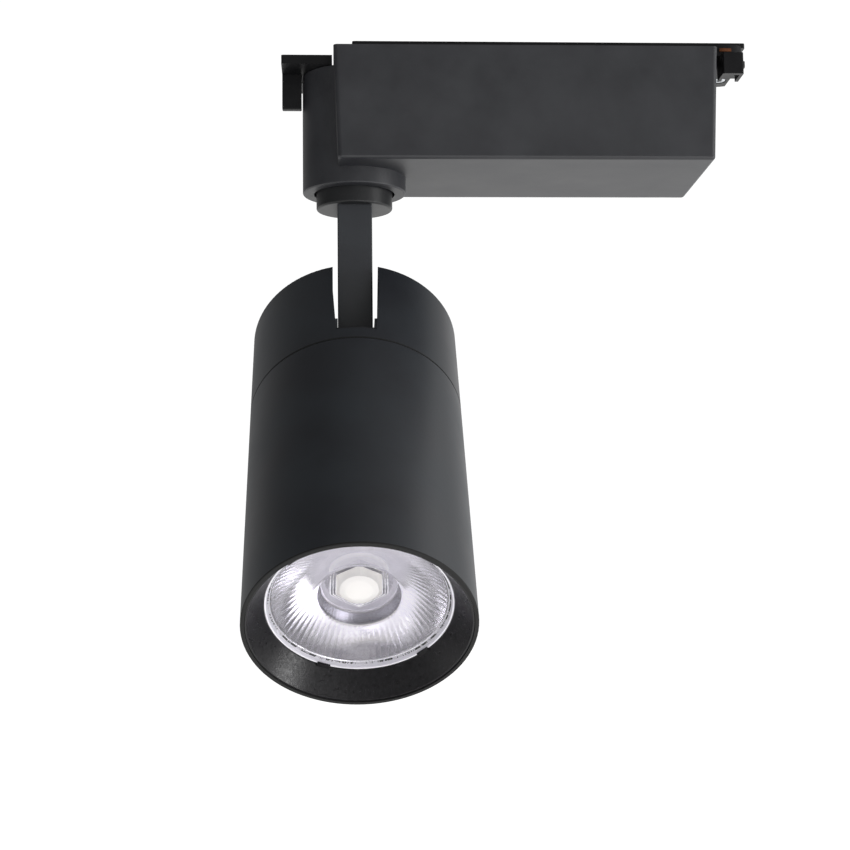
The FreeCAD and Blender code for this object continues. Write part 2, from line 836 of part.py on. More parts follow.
def lens():
    """Clear moulded optic: a flange, a dished front with a central well, a curved
    reflecting side and a cavity over the light source."""
    flange_low = flange_front_s - flange_thick

    def p(r, s):
        return V(r, 0, s)

    def line(a, b):
        return Part.LineSegment(a, b).toShape()

    def arc(a, b, c):
        return Part.Arc(a, b, c).toShape()

    def cap(crown_s, rim_r, rim_s):
        """Arc from the axis out to a rim, with its centre on the axis."""
        sag = crown_s - rim_s
        ball = (rim_r ** 2 + sag ** 2) / (2 * sag)
        half = rim_r / 2
        drop = ball - math.copysign(math.sqrt(ball ** 2 - half ** 2), ball)
        return arc(p(0, crown_s), p(half, crown_s - drop), p(rim_r, rim_s))

    cavity_r = lens_cavity_r - 0.5
    roof_s = lens_cavity_s - lens_cavity_sag
    edges = [
        cap(well_crown_s, well_floor_r, well_floor_s),
        line(p(well_floor_r, well_floor_s), p(well_mouth_r, well_mouth_s)),
        arc(p(well_mouth_r, well_mouth_s), p(dish_middle_r, dish_middle_s),
            p(dish_edge_r, dish_edge_s)),
        line(p(dish_edge_r, dish_edge_s), p(rim_inner_r, flange_front_s)),
        line(p(rim_inner_r, flange_front_s), p(flange_r, flange_front_s)),
        line(p(flange_r, flange_front_s), p(flange_r, flange_low)),
        line(p(flange_r, flange_low), p(flange_root_r, flange_low)),
        arc(p(flange_root_r, flange_low), p(lens_bulge_r, lens_bulge_s),
            p(lens_rear_r, lens_rear_s)),
        line(p(lens_rear_r, lens_rear_s), p(lens_cavity_r, lens_rear_s)),
        line(p(lens_cavity_r, lens_rear_s), p(cavity_r, lens_cavity_s)),
        cap(roof_s, cavity_r, lens_cavity_s),
        line(p(0, roof_s), p(0, well_crown_s)),
    ]
    face = Part.Face(Part.Wire(Part.__sortEdges__(edges)))
    return on_head(face.revolve(V(0, 0, 0), Z_AXIS, 360))


def lens_holder():
    """Black drum that stands on the heat sink and carries the lens by its flange."""
    seat = flange_front_s - flange_thick
    outer = sink_r
    return on_head(turned([(outer - 1.6, sink_front_s), (outer, sink_front_s),
                           (outer, seat), (holder_ledge_r, seat),
                           (holder_ledge_r, seat - 2.0), (outer - 1.6, seat - 2.0)]))


def front_ring():
    """Anti-glare ring: an inner cone from the rim down to the lens, with four small
    tabs over the flange."""
    seat = flange_front_s - flange_thick
    front = head_length - ring_set_back
    shoulder = rim_rebate_s + 0.2
    bore = flange_r + 0.15
    body = turned([(bore, seat), (sink_r, seat), (sink_r, shoulder),
                   (rim_rebate_r - 0.15, shoulder), (rim_rebate_r - 0.15, front),
                   (ring_mouth_r, front), (bore, flange_front_s + 0.4)])
    tab = block(flange_r - 0.9, flange_r + 0.9, -2.2, 2.2, flange_front_s + 0.02,
                flange_front_s + 0.9)
    tabs = []
    for angle in tab_angles:
        piece = tab.copy()
        piece.rotate(V(0, 0, 0), Z_AXIS, angle)
        tabs.append(piece)
    return on_head(joined([body] + tabs))


# ---- output ---------------------------------------------------------------------

sub_parts = [
    driver_housing, driver_lid, lid_screws, driver_board, board_screws, transformer_core,
    transformer_winding, capacitors, mains_choke, terminal_block, power_switch,
    adapter_body, adapter_screws, contact_lever, contact_head, contact_blades, lever_screw,
    latch_plate, latch_plate_screws, latch, swivel_collar, arm, arm_screws,
    swivel_washer, swivel_stop, swivel_wave_washer, swivel_nut, rear_cover, cover_screws,
    body_tube, heat_sink, pivot_bracket, bracket_screws, tilt_bolt, tilt_washers, tilt_nut,
    thermal_pad, led_board, led_emitter, led_holder, led_holder_screws, lens, lens_holder,
    front_ring,
]

os.makedirs("parts", exist_ok=True)
for make in sub_parts:
    shape = make()
    shape.exportStep("parts/%s.step" % make.__name__)
    print("%-22s %2d solid(s) %10.1f mm3  valid %s"
          % (make.__name__, len(shape.Solids), shape.Volume, shape.isValid()))
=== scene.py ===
import json
import math

import bpy
import numpy as np
from mathutils import Matrix, Vector


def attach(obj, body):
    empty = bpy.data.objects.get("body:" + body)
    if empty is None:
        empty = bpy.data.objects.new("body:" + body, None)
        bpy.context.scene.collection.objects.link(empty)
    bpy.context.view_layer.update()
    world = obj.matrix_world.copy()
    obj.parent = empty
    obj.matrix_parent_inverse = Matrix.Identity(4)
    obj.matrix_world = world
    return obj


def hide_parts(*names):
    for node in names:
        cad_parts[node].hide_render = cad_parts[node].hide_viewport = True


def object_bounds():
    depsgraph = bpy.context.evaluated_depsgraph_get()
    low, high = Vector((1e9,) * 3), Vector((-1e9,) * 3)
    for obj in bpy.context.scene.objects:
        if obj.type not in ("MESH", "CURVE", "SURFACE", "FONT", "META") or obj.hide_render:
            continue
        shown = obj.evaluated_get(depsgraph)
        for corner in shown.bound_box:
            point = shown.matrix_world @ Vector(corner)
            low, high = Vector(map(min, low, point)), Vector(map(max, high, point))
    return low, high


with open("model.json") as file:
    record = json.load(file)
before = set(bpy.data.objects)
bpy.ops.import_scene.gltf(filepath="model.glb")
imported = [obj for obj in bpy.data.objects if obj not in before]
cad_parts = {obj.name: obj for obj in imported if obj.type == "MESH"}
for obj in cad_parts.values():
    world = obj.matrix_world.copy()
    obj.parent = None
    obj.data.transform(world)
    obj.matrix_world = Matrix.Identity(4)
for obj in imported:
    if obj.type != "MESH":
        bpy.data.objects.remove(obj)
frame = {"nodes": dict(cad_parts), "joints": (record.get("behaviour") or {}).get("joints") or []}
nodes = frame["nodes"]
cadBox = [list(corner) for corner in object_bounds()]
print("frame loaded with", len(nodes), "parts")

mm = 0.001  # scene units are metres, and the sizes below are in mm


def linear(hexColour):
    # sRGB hex to linear: v/12.92 up to 0.04045, and ((v+0.055)/1.055)^2.4 above it
    values = [int(hexColour[i:i + 2], 16) / 255 for i in (0, 2, 4)]
    return [v / 12.92 if v <= 0.04045 else ((v + 0.055) / 1.055) ** 2.4 for v in values] + [1.0]


def addNode(tree, kind, settings=None, inputs=None):
    # a value that is a socket becomes a link, any other value is set on the input
    node = tree.nodes.new(kind)
    for name, value in (settings or {}).items():
        setattr(node, name, value)
    for name, value in (inputs or {}).items():
        if isinstance(value, bpy.types.NodeSocket):
            tree.links.new(value, node.inputs[name])
        else:
            node.inputs[name].default_value = value
    return node


# The head's own frame: s runs along the barrel from its rear face to the front, and n is square to
# the barrel and to the tilt axis. aim is how many degrees below horizontal the head points at rest.
headFrame = dict(pivotS=19.3, aim=47.5)
tilt = next(j for j in frame["joints"] if j["name"] == "head_tilt")


def toWorld(x, n, s):
    # a point of the head in metres, turned by the rest angle about the tilt axis and put at the pivot
    a = math.radians(headFrame["aim"])
    along = s - headFrame["pivotS"] * mm
    px, py, pz = tilt["pos_m"]
    return np.stack([x + px,
                     -along * math.cos(a) - n * math.sin(a) + py,
                     -along * math.sin(a) + n * math.cos(a) + pz], axis=-1)


aimAngle = math.radians(headFrame["aim"])
barrelAxis = (0.0, -math.cos(aimAngle), -math.sin(aimAngle))


def newMaterial(name):
    material = bpy.data.materials.new(name)
    material.use_nodes = True
    tree = material.node_tree
    tree.nodes.clear()
    return material, tree


# the part of a noise's range that a finish spreads over its tones and its roughness
skin = dict(patchDetail=4.0, patchRoughness=0.55, toneFrom=0.35, toneTo=0.65, glossFrom=0.3,
            glossTo=0.7, grainDetail=2.0, rimBlend=0.1)


def makeFinish(name, look):
    # One noise at a real size mixes a light and a dark tone and varies the roughness, and finer
    # ones raise the grain that the light catches.
    material, tree = newMaterial(name)
    place = addNode(tree, "ShaderNodeTexCoord").outputs["Object"]
    patches = addNode(tree, "ShaderNodeTexNoise", None,
                      {"Vector": place, "Scale": 1 / (look["patch"] * mm),
                       "Detail": skin["patchDetail"],
                       "Roughness": skin["patchRoughness"]}).outputs["Fac"]
    tone = addNode(tree, "ShaderNodeMapRange", None,
                   {"Value": patches, "From Min": skin["toneFrom"],
                    "From Max": skin["toneTo"]}).outputs["Result"]
    colour = addNode(tree, "ShaderNodeMix", {"data_type": "RGBA"},
                     {"Factor": tone, 6: linear(look["dark"]), 7: linear(look["light"])}).outputs[2]
    gloss = addNode(tree, "ShaderNodeMapRange", None,
                    {"Value": patches, "From Min": skin["glossFrom"], "From Max": skin["glossTo"],
                     "To Min": look["roughness"][0], "To Max": look["roughness"][1]}).outputs["Result"]
    if "rim" in look:
        # in front of a plane across the barrel the skin turns to the rim's tone and roughness, a
        # painted shade on the rim
        depth = addNode(tree, "ShaderNodeVectorMath", {"operation": "DOT_PRODUCT"},
                        {0: place, 1: barrelAxis}).outputs["Value"]
        edge = toWorld(0, 0, look["rim"]["start"] * mm) @ np.array(barrelAxis)
        mask = addNode(tree, "ShaderNodeMapRange", None,
                       {"Value": depth, "From Min": edge,
                        "From Max": edge + skin["rimBlend"] * mm}).outputs["Result"]
        colour = addNode(tree, "ShaderNodeMix", {"data_type": "RGBA"},
                         {"Factor": mask, 6: colour, 7: linear(look["rim"]["colour"])}).outputs[2]
        gloss = addNode(tree, "ShaderNodeMix", {"data_type": "FLOAT"},
                        {"Factor": mask, "A": gloss, "B": look["rim"]["roughness"]}).outputs["Result"]
    shader = addNode(tree, "ShaderNodeBsdfPrincipled", None,
                     {"Base Color": colour, "Roughness": gloss,
                      "Metallic": look.get("metallic", 0.0)})
    for socket, value in look.get("shader", {}).items():
        shader.inputs[socket].default_value = value
    normal = None
    for size, height in look["grain"]:
        grain = addNode(tree, "ShaderNodeTexNoise", None,
                        {"Vector": place, "Scale": 1 / (size * mm), "Detail": skin["grainDetail"]})
        bump = addNode(tree, "ShaderNodeBump", None,
                       {"Height": grain.outputs["Fac"], "Distance": height * mm, "Strength": 1.0})
        if normal:
            tree.links.new(normal, bump.inputs["Normal"])
        normal = bump.outputs["Normal"]
    if normal:
        tree.links.new(normal, shader.inputs["Normal"])
    addNode(tree, "ShaderNodeOutputMaterial", None, {"Surface": shader.outputs["BSDF"]})
    return material


# Sizes are in mm. "patch" is the size of slow changes in tone, and "grain" lists bump size and height.
# Real grain on these parts is 0.05 to 0.3 mm. That would not show, so it is drawn at 0.4 to 0.9 mm.
finishes = {
    # black polycarbonate, injection moulded in a spark-eroded tool: a satin near-black skin with a
    # fine grain; the real grain is 0.15 mm and is drawn at 0.7 mm so that it shows
    "black_polycarbonate": dict(name="mouldedPolycarbonate", dark="14151a", light="202125", patch=17,
                                roughness=(0.46, 0.52), grain=[(0.7, 0.012), (4.0, 0.012)]),
    # black nylon, moulded with a polished tool: slightly greasy sheen and faint flow marks
    "black_nylon": dict(name="mouldedNylon", dark="08080a", light="0f0f11", patch=9,
                        roughness=(0.36, 0.48), grain=[(0.6, 0.010)],
                        shader={"Specular IOR Level": 0.2}),
    # aluminium with black polyester powder coat, baked: matt with a soft orange peel about 1 mm across
    "black_powder_coat": dict(name="bakedPowderCoat", dark="1b1d22", light="22262b", patch=30,
                              roughness=(0.40, 0.48), grain=[(0.5, 0.010), (1.3, 0.014)]),
    # glare ring, polycarbonate with a coarse matt tool texture: dull, with speckled glints
    "black_baffle": dict(name="texturedBaffle", dark="0b0a0d", light="141316", patch=1.2,
                         roughness=(0.26, 0.44), grain=[(0.5, 0.042), (0.9, 0.020)],
                         shader={"Specular IOR Level": 0.35}),
    # steel, zinc plated and blue passivated: bright grey with a cold tint and cloudy patches
    "zinc_plated_steel": dict(name="platedSteel", dark="a9adb2", light="c9ccd0", patch=3.5,
                              metallic=1.0, roughness=(0.24, 0.38), grain=[(0.5, 0.006)]),
    # turned brass nut: warm yellow with fine tool marks
    "brass_nut": dict(name="turnedBrass", dark="b08d4a", light="cfae68", patch=2.5, metallic=1.0,
                      roughness=(0.22, 0.34), grain=[(0.4, 0.006)]),
    # half-hard copper strip, stamped: pink metal, browned where it was handled
    "copper_contact": dict(name="stampedCopper", dark="5e3b28", light="7d5039", patch=3,
                           metallic=1.0, roughness=(0.22, 0.40), grain=[(0.5, 0.005)]),
    # aluminium, turned and milled, coloured near black as painted shade for the dark inside of the arm
    # slot: dull, with a fine pitted grain
    "black_anodised_aluminium": dict(name="anodisedAluminium", dark="161617", light="1f1f21",
                                     patch=7, roughness=(0.42, 0.55), grain=[(0.6, 0.016)]),
    # glass-fibre laminate under green solder resist: glossy, with a faint weave
    "board_laminate": dict(name="resistLaminate", dark="17502c", light="216539", patch=2,
                           roughness=(0.28, 0.38), grain=[(0.6, 0.006)]),
    # pressed and sintered ferrite: dark grey, dusty, very matt
    "ferrite": dict(name="sinteredFerrite", dark="27282a", light="35363a", patch=1.6,
                    roughness=(0.55, 0.72), grain=[(0.5, 0.016)]),
    # polyester tape over a coil: yellow, glossy, with wrinkles along the wraps
    "coil_tape": dict(name="polyesterTape", dark="c79a1f", light="e2b93c", patch=5,
                      roughness=(0.20, 0.32), grain=[(1.4, 0.020)]),
    # shrunk PVC sleeve on an aluminium can: blue-black, glossy
    "capacitor_sleeve": dict(name="shrunkSleeve", dark="1b2c4d", light="243a63", patch=6,
                             roughness=(0.18, 0.28), grain=[(1.6, 0.012)]),
    # nylon terminal body, moulded: sea green, semi-matt
    "terminal_plastic": dict(name="terminalNylon", dark="3f7f5d", light="4f936e", patch=5,
                             roughness=(0.38, 0.50), grain=[(0.6, 0.010)]),
    # heat-conducting silicone sheet: soft grey, chalky
    "silicone_pad": dict(name="siliconeSheet", dark="8b8f93", light="9da1a5", patch=3,
                         roughness=(0.60, 0.75), grain=[(0.7, 0.015)]),
    # alumina ceramic under the light source: ivory white, slightly glossy
    "led_ceramic": dict(name="firedAlumina", dark="e6e2d6", light="f3f0e6", patch=1.5,
                        roughness=(0.30, 0.42), grain=[(0.5, 0.006)]),
    # white polycarbonate clamp for the light source, moulded: bright, semi-gloss
    "white_holder": dict(name="whitePolycarbonate", dark="e4e4e2", light="f2f2f0", patch=5,
                         roughness=(0.30, 0.42), grain=[(0.6, 0.008)]),
}

materials = {slot: makeFinish(look["name"], look) for slot, look in finishes.items()}

# phosphor in silicone over the chips, lit: near white with a faint grain of the powder; the core's
# strength is a painted glow for the column inside the optic
glow = dict(bright="fffefb", dim="f7f4ee", speck=0.9, speckDetail=2.0, roughness=0.45,
            coreStrength=0.24, sourceStrength=0.2)


def makePhosphor(name, strength):
    # fine specks mix two near whites, and the same tint glows
    material, tree = newMaterial(name)
    place = addNode(tree, "ShaderNodeTexCoord").outputs["Object"]
    specks = addNode(tree, "ShaderNodeTexNoise", None,
                     {"Vector": place, "Scale": 1 / (glow["speck"] * mm),
                      "Detail": glow["speckDetail"]}).outputs["Fac"]
    tint = addNode(tree, "ShaderNodeMix", {"data_type": "RGBA"},
                   {"Factor": specks, 6: linear(glow["bright"]), 7: linear(glow["dim"])}).outputs[2]
    shader = addNode(tree, "ShaderNodeBsdfPrincipled", None,
                     {"Base Color": tint, "Emission Color": tint, "Roughness": glow["roughness"],
                      "Emission Strength": strength})
    addNode(tree, "ShaderNodeOutputMaterial", None, {"Surface": shader.outputs["BSDF"]})
    return material


# painted glow: the optic's core column glows in the source's tint, though it is no lamp
paintedGlowCoreFinish = makePhosphor("litPhosphor", glow["coreStrength"])
materials["led_phosphor"] = makePhosphor("litSource", glow["sourceStrength"])

acrylicIor = 1.49


def makeClear(name, look):
    # moulded acrylic: clear, with a faint lilac cast where it is thick, and a wavy moulded skin
    material, tree = newMaterial(name)
    place = addNode(tree, "ShaderNodeTexCoord").outputs["Object"]
    waves = addNode(tree, "ShaderNodeTexNoise", None,
                    {"Vector": place, "Scale": 1 / (look["wave"] * mm), "Detail": 1.0})
    bump = addNode(tree, "ShaderNodeBump", None,
                   {"Height": waves.outputs["Fac"], "Distance": look["height"] * mm})
    shader = addNode(tree, "ShaderNodeBsdfPrincipled", None,
                     {"Base Color": linear(look["colour"]), "Roughness": look["roughness"],
                      "IOR": acrylicIor, "Transmission Weight": look["clear"],
                      "Emission Color": linear(look["colour"]),
                      "Emission Strength": look.get("glow", 0.0),
                      "Normal": bump.outputs["Normal"]})
    addNode(tree, "ShaderNodeOutputMaterial", None, {"Surface": shader.outputs["BSDF"]})
    return material


# "clear" is how much light passes, "wave" and "height" are the size of the ripples in the skin, and
# "glow" stands for light from the source that the acrylic carries to its edges
materials["clear_acrylic"] = makeClear(
    "mouldedAcrylic", dict(colour="f8f7fb", roughness=0.02, clear=1.0, wave=5, height=0.02))
frosted = makeClear(
    "mattAcrylicEdge", dict(colour="e8e6ec", roughness=0.5, clear=0.1, glow=0.20, wave=6, height=0.01))
hazyRim = makeClear(
    "hazyAcrylicRim", dict(colour="d4d2da", roughness=0.35, clear=0.4, glow=0.05, wave=6, height=0.01))
satinAcrylic = makeClear(
    "satinAcrylicWall", dict(colour="96949e", roughness=0.22, clear=1.0, wave=2.5, height=0.01))

# side wall of the optic: total reflection turns the light back, so the wall looks silvered, and a faint
# painted glow stands for a little of the source's light
silver = dict(name="reflectingAcrylicWall", dark="f1f0f4", light="fcfbfd", patch=9,
              metallic=1.0, roughness=(0.15, 0.24), grain=[(3.0, 0.010)],
              shader={"Emission Color": linear("f6f4fb"), "Emission Strength": 0.03})
silvered = makeFinish(silver["name"], silver)

for node in nodes.values():
    for holder in node.material_slots:
        slot = holder.material.name.split(".")[0]
        if slot in materials:
            holder.material = materials[slot]
# the bracket's ears stand deep in the slot: plated steel darkened as painted shade, and dull
shadedEars = dict(name="oiledPlate", dark="5c5f63", light="7b7e83", patch=3.5, metallic=1.0,
            roughness=(0.34, 0.46), grain=[(0.5, 0.006)])
nodes["pivot_bracket"].material_slots[0].material = makeFinish(shadedEars["name"], shadedEars)
# Painted shade: the tube's front end face is coloured dead matt black, as if in shade, against the
# satin barrel.
# The cover's front edge gets the same painted shade, which draws the seam between the two as a black
# line. The numbers are where each rim starts, along the barrel.
paintedShadeRims = dict(body_tube=("powderCoatFacedRim", 140.7), rear_cover=("powderCoatFacedSeam", 41.65))
for name, (title, start) in paintedShadeRims.items():
    shadedRimFinish = dict(finishes["black_powder_coat"], rim=dict(start=start, colour="020202", roughness=0.8))
    nodes[name].material_slots[0].material = makeFinish(title, shadedRimFinish)
# swivel collar, aluminium: a darker copy of the powder coat with less sheen, painted shade
shadedCollar = dict(finishes["black_powder_coat"], name="dyedTurnedCollar", dark="0e0f11", light="141517",
              shader={"Specular IOR Level": 0.35})
nodes["swivel_collar"].material_slots[0].material = makeFinish(shadedCollar["name"], shadedCollar)
print("finishes on", len(nodes), "parts")


def meshFrom(name, points, faces, slots):
    # a smooth-shaded mesh object at the origin, with a material slot for each face
    mesh = bpy.data.meshes.new(name)
    mesh.from_pydata(points, [], faces)
    mesh.polygons.foreach_set("material_index", slots)
    mesh.polygons.foreach_set("use_smooth", np.ones(len(faces), bool))
    mesh.update()
    piece = bpy.data.objects.new(name, mesh)
    bpy.context.scene.collection.objects.link(piece)
    return piece


# Clear optic, sizes in mm: a dished front with a central well, a flange, a fluted reflecting side and
# a cavity over the light source. Names ending in R are radii, and names ending in S are places along
# the barrel.
optic = dict(crownS=126.4, floorR=12.3, floorS=122.7,           # well's domed floor
             wellR=13.5, wellS=127.9,                           # well's mouth
             dish=(21.0, 128.9), dishR=29.2, dishS=130.9,       # dish, through its middle
             rimR=29.7, flangeR=30.2, flangeS=132.2,            # raised rim and flange
             flangeThick=2.0, flangeRootR=28.6,
             bulge=(21.5, 116.0), rearR=10.6, rearS=105.0,      # side, through its middle
             cavityR=8.6, cavityRoofR=8.1, cavityS=112.0, cavitySag=1.6,
             around=576,
             flutes=78, fluteDepth=0.17, fluteGrowth=1.3, fluteEnds=0.35,
             sideShare=0.55, driftShare=0.3, driftsAround=5, driftTurn=1.0,
             dent=0.26, dentsAround=6, dentsAlong=2.5, dentTurn=0.7,
             cell=1.3, cellHeight=0.02, cellMargin=0.4)         # lenslets on the well's floor


def arcRun(a, b, c, count):
    # points of the circle through a, b and c, evenly spaced by angle from a to c
    (ax, ay), (bx, by), (cx, cy) = a, b, c
    d = 2 * (ax * (by - cy) + bx * (cy - ay) + cx * (ay - by))
    ux = ((ax**2 + ay**2) * (by - cy) + (bx**2 + by**2) * (cy - ay) + (cx**2 + cy**2) * (ay - by)) / d
    uy = ((ax**2 + ay**2) * (cx - bx) + (bx**2 + by**2) * (ax - cx) + (cx**2 + cy**2) * (bx - ax)) / d
    radius = math.hypot(ax - ux, ay - uy)
    start, middle, end = (math.atan2(y - uy, x - ux) for x, y in (a, b, c))
    middle = start + (middle - start + math.pi) % (2 * math.pi) - math.pi
    end = middle + (end - middle + math.pi) % (2 * math.pi) - math.pi
    angle = np.linspace(start, end, count)
    return np.stack([ux + radius * np.cos(angle), uy + radius * np.sin(angle)], axis=1)


def capRun(crownS, rimR, rimS, count):
    # shallow dome from the axis to its rim: s goes from the crown's to the rim's as the square of r
    r = np.linspace(0, rimR, count)
    return np.stack([r, crownS + (rimS - crownS) * (r / rimR) ** 2], axis=1)


def straightRun(a, b, count):
    # evenly spaced points from a to b
    t = np.linspace(0, 1, count)[:, None]
    return np.array(a) * (1 - t) + np.array(b) * t


def buildOptic(o):
    # A closed profile (r, s) is turned about the barrel's axis. The side's radius drops by
    # |sin(flutes * angle / 2)| times the flute depth, which grows towards the flange, is largest at
    # the left and right and drifts slowly round, and by broad dents, sin(around) * sin(along). The
    # well's floor rises in hexagonal lenslets, the sum of three cosines 60 degrees apart.
    clear, wall, matt, satin, hazy = range(5)  # order of the finishes on the piece
    floorRun, sideRun = 0, 7  # places of these runs in the list below
    low = o["flangeS"] - o["flangeThick"]
    # from the middle of the front round to the middle of the back, each run with its point count
    runs = [
        (capRun(o["crownS"], o["floorR"], o["floorS"], 62), clear),
        (straightRun((o["floorR"], o["floorS"]), (o["wellR"], o["wellS"]), 5), satin),
        (arcRun((o["wellR"], o["wellS"]), o["dish"], (o["dishR"], o["dishS"]), 14), clear),
        (straightRun((o["dishR"], o["dishS"]), (o["rimR"], o["flangeS"]), 3), hazy),
        (straightRun((o["rimR"], o["flangeS"]), (o["flangeR"], o["flangeS"]), 2), matt),
        (straightRun((o["flangeR"], o["flangeS"]), (o["flangeR"], low), 3), matt),
        (straightRun((o["flangeR"], low), (o["flangeRootR"], low), 2), matt),
        (arcRun((o["flangeRootR"], low), o["bulge"], (o["rearR"], o["rearS"]), 36), wall),
        (straightRun((o["rearR"], o["rearS"]), (o["cavityR"], o["rearS"]), 3), matt),
        (straightRun((o["cavityR"], o["rearS"]), (o["cavityRoofR"], o["cavityS"]), 4), matt),
        (capRun(o["cavityS"] - o["cavitySag"], o["cavityRoofR"], o["cavityS"], 10)[::-1], matt),
    ]
    profile, kinds, part = [runs[0][0]], [runs[0][1]] * (len(runs[0][0]) - 1), [0] * len(runs[0][0])
    for index, (points, kind) in enumerate(runs[1:], 1):
        profile.append(points[1:])
        kinds += [kind] * (len(points) - 1)
        part += [index] * (len(points) - 1)
    profile = np.concatenate(profile)[1:-1]
    part = np.array(part)[1:-1]
    rings, around = len(profile), o["around"]
    angle = np.arange(around) * 2 * math.pi / around
    r = np.repeat(profile[:, :1], around, axis=1)
    s = np.repeat(profile[:, 1:], around, axis=1)
    side = (part == sideRun)[:, None]
    along = np.clip((s - o["rearS"]) / (low - o["rearS"]), 0, 1)
    fade = np.sin(math.pi * along) ** o["fluteEnds"]
    drift = np.sin(o["driftsAround"] * angle + o["driftTurn"])
    uneven = ((1 - o["sideShare"] * np.sin(angle) ** 2)
              * (1 - o["driftShare"] + o["driftShare"] * drift))
    grown = along ** o["fluteGrowth"]
    flute = o["fluteDepth"] * uneven * grown * np.abs(np.sin(o["flutes"] * angle / 2))
    waved = (np.sin(o["dentsAround"] * angle + o["dentTurn"])
             * np.sin(o["dentsAlong"] * math.pi * along))
    dent = o["dent"] * (1 + waved) / 2
    r = np.where(side, r - fade * (flute + dent), r)
    x, n = r * np.cos(angle), r * np.sin(angle)
    ca, sa = math.cos(math.pi / 3), math.sin(math.pi / 3)
    turns = 2 * math.pi / o["cell"]
    waves = np.cos(turns * x) + np.cos(turns * (ca * x + sa * n)) + np.cos(turns * (ca * x - sa * n))
    inside = (part == floorRun)[:, None] & (r < o["floorR"] - o["cellMargin"])
    s = np.where(inside, s + o["cellHeight"] * waves / 3, s)
    grid = toWorld(x * mm, n * mm, s * mm).reshape(-1, 3)
    front = toWorld(0, 0, o["crownS"] * mm + o["cellHeight"] * mm)
    back = toWorld(0, 0, (o["cavityS"] - o["cavitySag"]) * mm)
    points = np.concatenate([grid, front[None], back[None]])
    i, j = np.meshgrid(np.arange(rings - 1), np.arange(around), indexing="ij")
    k = (j + 1) % around
    quads = np.stack([i * around + j, (i + 1) * around + j, (i + 1) * around + k, i * around + k],
                     axis=-1).reshape(-1, 4)
    # a fan closes the crown and another closes the cavity's roof
    j = np.arange(around)
    k = (j + 1) % around
    first = np.stack([j, k, np.full(around, rings * around)], axis=-1)
    last = np.stack([(rings - 1) * around + k, (rings - 1) * around + j,
                     np.full(around, rings * around + 1)], axis=-1)
    faces = quads.tolist() + first.tolist() + last.tolist()
    slots = np.concatenate([np.repeat(np.array(kinds[1:-1]), around),
                            np.full(around, kinds[0]), np.full(around, kinds[-1])])
    return points.tolist(), faces, slots.astype(np.int32)


lens = meshFrom("clearOptic", *buildOptic(optic))
for finish in (materials["clear_acrylic"], silvered, frosted, satinAcrylic, hazyRim):
    lens.data.materials.append(finish)
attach(lens, "head")
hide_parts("lens")
print("optic made with", len(lens.data.polygons), "faces")


# Painted glow in the optic, in mm: a glowing column under the crown stands for the source's light seen
# through the optic. It is round in front and hexagonal lower down, with thin stepped facets round it.
# flat is half the width across flats, and a ring's last number is how far it is from round (0) to
# hexagonal (1).
core = dict(flat=6.2, low=112.4, turn=119.0, high=125.7, tipFlat=0.5, shoulder=0.7, shoulderDrop=0.3,
            faceDrop=1.0, around=96,
            steps=(7.0, 7.8, 8.6), stepWall=0.22, stepLow=112.6, stepHigh=(121.5, 121.0, 120.5))


def buildColumn(rings, closed):
    # Rings of (flat, s, hex) are joined one to the next. The radius at an angle is
    # flat * ((1 - hex) + hex / cos(angle to the nearest flat)), with flats facing +X and -X. A closed
    # run joins the last ring to the first, and an open one ends in a point at each end.
    count, total = core["around"], len(rings)
    angle = np.arange(count) * 2 * math.pi / count
    corner = 1 / np.cos((angle + math.pi / 6) % (math.pi / 3) - math.pi / 6)
    flat, s, hexed = (np.array(column)[:, None] for column in zip(*rings))
    r = flat * (1 - hexed + hexed * corner)
    points = toWorld(r * np.cos(angle) * mm, r * np.sin(angle) * mm, s * mm + 0 * r).reshape(-1, 3)
    i, j = np.meshgrid(np.arange(total if closed else total - 1), np.arange(count), indexing="ij")
    k, m = (j + 1) % count, (i + 1) % total
    quads = np.stack([i * count + j, m * count + j, m * count + k, i * count + k], axis=-1)
    faces = quads.reshape(-1, 4).tolist()
    if not closed:
        ends = [toWorld(0, 0, rings[0][1] * mm), toWorld(0, 0, rings[-1][1] * mm)]
        points = np.concatenate([points, ends])
        j = np.arange(count)
        k = (j + 1) % count
        faces += np.stack([j, k, np.full(count, total * count)], axis=-1).tolist()
        faces += np.stack([(total - 1) * count + k, (total - 1) * count + j,
                           np.full(count, total * count + 1)], axis=-1).tolist()
    return points.tolist(), faces, np.zeros(len(faces), np.int32)


def flatShaded(piece):
    # facets stay crisp
    piece.data.polygons.foreach_set("use_smooth", np.zeros(len(piece.data.polygons), bool))


columnRings = [(core["tipFlat"], core["high"], 0.0),
               (core["flat"] * core["shoulder"], core["high"] - core["shoulderDrop"], 0.0),
               (core["flat"], core["high"] - core["faceDrop"], 0.0),
               (core["flat"], core["turn"], 1.0),
               (core["flat"], core["low"], 1.0),
               (core["tipFlat"], core["low"], 1.0)]
column = meshFrom("litCore", *buildColumn(columnRings, False))
column.data.materials.append(paintedGlowCoreFinish)
flatShaded(column)
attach(column, "head")
for index, (flat, high) in enumerate(zip(core["steps"], core["stepHigh"])):
    inner = flat - core["stepWall"]
    loop = [(flat, high, 1.0), (flat, core["stepLow"], 1.0), (inner, core["stepLow"], 1.0),
            (inner, high, 1.0)]
    step = meshFrom(f"coreFacet{index}", *buildColumn(loop, True))
    step.data.materials.append(silvered)
    flatShaded(step)
    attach(step, "head")
print("lit core made")


# Floor and sky. The floor is a lit shooting table, so it glows. The sky is dim at the left, lighter at
# the right, in front and behind, and white where the camera sees it.
studio = dict(floorDrop=0.55, floorSize=60.0, floorColour="f4f4f2", floorRoughness=0.8, floorGlow=0.80,
              left=0.10, right=0.54, front=0.41, back=0.42, seen=1.05,
              acrossFrom=-0.5, acrossTo=0.6, nearFrom=-0.3, nearTo=-0.9, farFrom=0.3, farTo=0.85)

